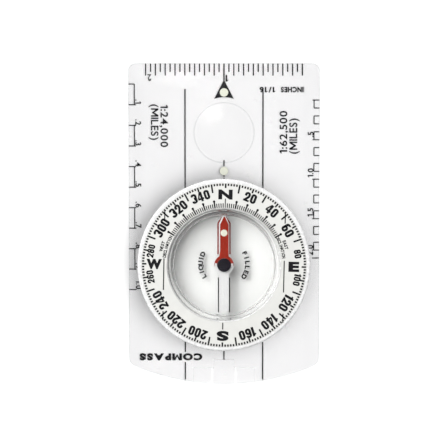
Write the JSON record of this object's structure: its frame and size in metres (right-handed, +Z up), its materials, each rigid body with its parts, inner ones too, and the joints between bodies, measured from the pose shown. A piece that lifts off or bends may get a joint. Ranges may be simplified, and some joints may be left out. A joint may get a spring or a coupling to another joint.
{
  "type": "baseplate compass",
  "caption": "Clear flat baseplate compass with magnifier, turning dial ring, fluid capsule with orienting arrow, and red and white needle.",
  "frame": {"origin": "middle of the plate's outline, on its underside", "axes": "+Y is the direction of travel, +X is right of it, +Z is up out of the dial"},
  "size_m": [0.062, 0.1045, 0.0082],
  "materials": {
    "clear_acrylic": "clear, polished",
    "luminous_paint": "matt, glow paint",
    "ring_plastic": "milky, smooth",
    "dial_white": "satin, printed in black",
    "spring_steel": "bright, rolled",
    "retainer_plastic": "satin",
    "clear_capsule": "clear, polished",
    "black_rubber": "matt",
    "plug_plastic": "satin",
    "hard_steel": "ground",
    "sapphire": "polished",
    "brass": "turned",
    "black_plastic": "satin black",
    "magnet_metal": "dark sintered metal",
    "needle_white": "white, north half printed red",
    "black_ink": "printed black ink",
    "red_ink": "printed dark red ink"
  },
  "bodies": {
    "plate": {"baseplate": "clear_acrylic", "travel_arrow_dot": "luminous_paint", "index_line_dot": "luminous_paint"},
    "dial_ring": {"azimuth_ring": "ring_plastic", "dial_face": "dial_white", "ring_retaining_clip": "spring_steel", "capsule_retainer": "retainer_plastic"},
    "capsule": {"capsule_body": "clear_capsule", "capsule_cover": "clear_capsule", "declination_o_ring": "black_rubber", "fill_plug": "plug_plastic", "pivot_pin": "hard_steel"},
    "rotor": {"rotor_hub": "black_plastic", "jewel_bearing": "sapphire", "jewel_setting": "brass", "ring_magnet": "magnet_metal", "tilt_pins": "hard_steel"},
    "needle": {"needle": "needle_white", "needle_dot": "luminous_paint"}
  },
  "joints": [
    {"name": "ring_turn", "type": "hinge", "parent": "plate", "child": "dial_ring", "pos_m": [0, -0.0128, 0.0025], "axis": [0, 0, 1], "continuous": true},
    {"name": "declination_set", "type": "hinge", "parent": "dial_ring", "child": "capsule", "pos_m": [0, -0.0128, 0.0042], "axis": [0, 0, 1], "range_deg": [-60, 60]},
    {"name": "needle_spin", "type": "hinge", "parent": "capsule", "child": "rotor", "pos_m": [0, -0.0128, 0.00445], "axis": [0, 0, 1], "continuous": true},
    {"name": "needle_tilt", "type": "hinge", "parent": "rotor", "child": "needle", "pos_m": [0, -0.0128, 0.00475], "axis": [1, 0, 0], "range_deg": [-8, 8], "stiffness_Nm_per_rad": 0.000004}
  ]
}
